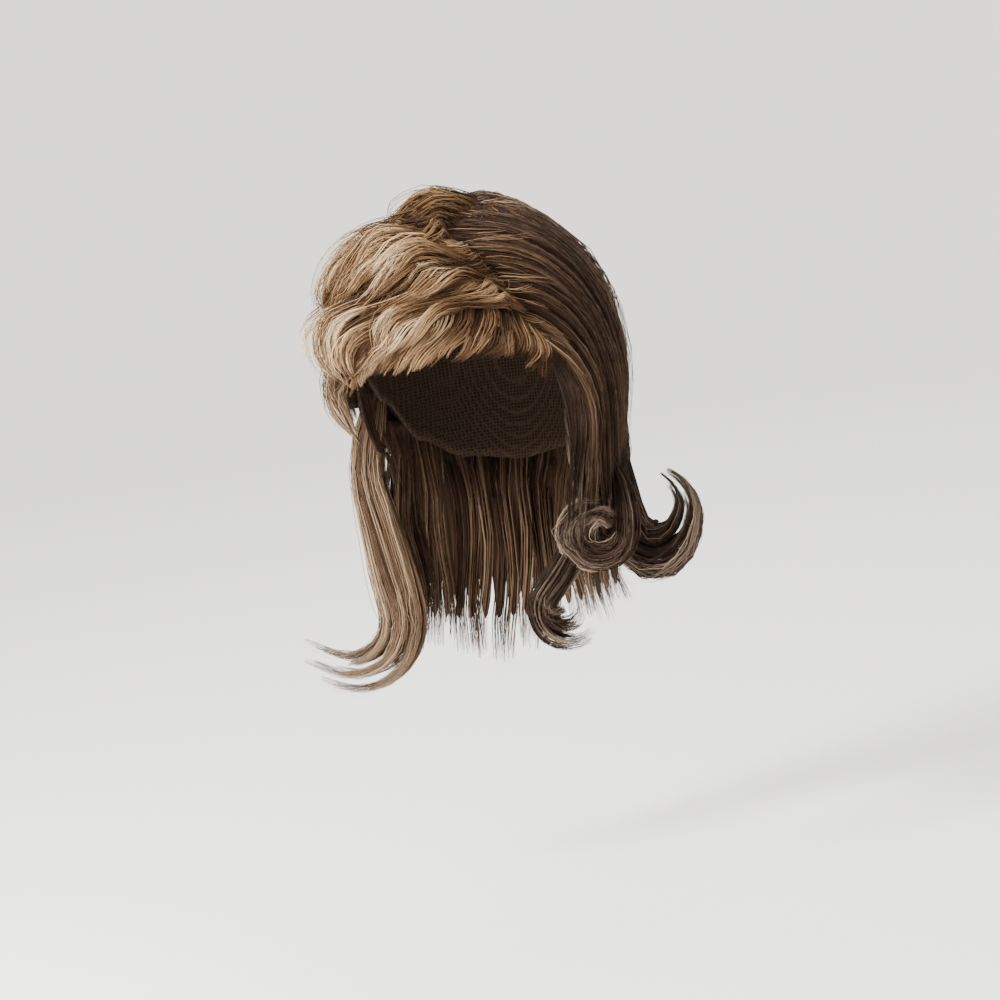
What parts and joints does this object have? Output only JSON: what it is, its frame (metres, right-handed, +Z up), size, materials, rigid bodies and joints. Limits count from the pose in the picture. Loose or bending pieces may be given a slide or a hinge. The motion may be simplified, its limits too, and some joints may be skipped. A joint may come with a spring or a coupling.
{
  "type": "mullet wig",
  "caption": "Mullet wig on a hollow stretch cap: short tousled waves swept to one side over a feathered fringe, short sides, long back with a flick and curls.",
  "frame": {"origin": "top of the cap's inside, where it rests on the crown of the head", "axes": "+Z up, -Y the way the wearer faces, +X towards the wearer's left"},
  "size_m": [0.2907, 0.2319, 0.3389],
  "materials": {
    "cap_net": "matt stretch net with an elastic hem",
    "hair_light": "light blonde synthetic fibre with a soft sheen",
    "hair_blond": "dirty blonde synthetic fibre with a soft sheen",
    "hair_brown": "light brown synthetic fibre with a soft sheen",
    "hair_dark": "dark brown synthetic fibre with a soft sheen"
  },
  "bodies": {
    "root": {"wig_cap": "cap_net", "crown_hair": "hair_brown", "top_waves": "hair_light", "fringe": "hair_blond", "side_right": "hair_blond", "side_left": "hair_dark", "tail_right": "hair_blond", "tail_left": "hair_dark", "back_hair": "hair_brown", "curl_ring": "hair_brown", "curl_outer": "hair_blond", "curl_front": "hair_brown"}
  },
  "joints": []
}
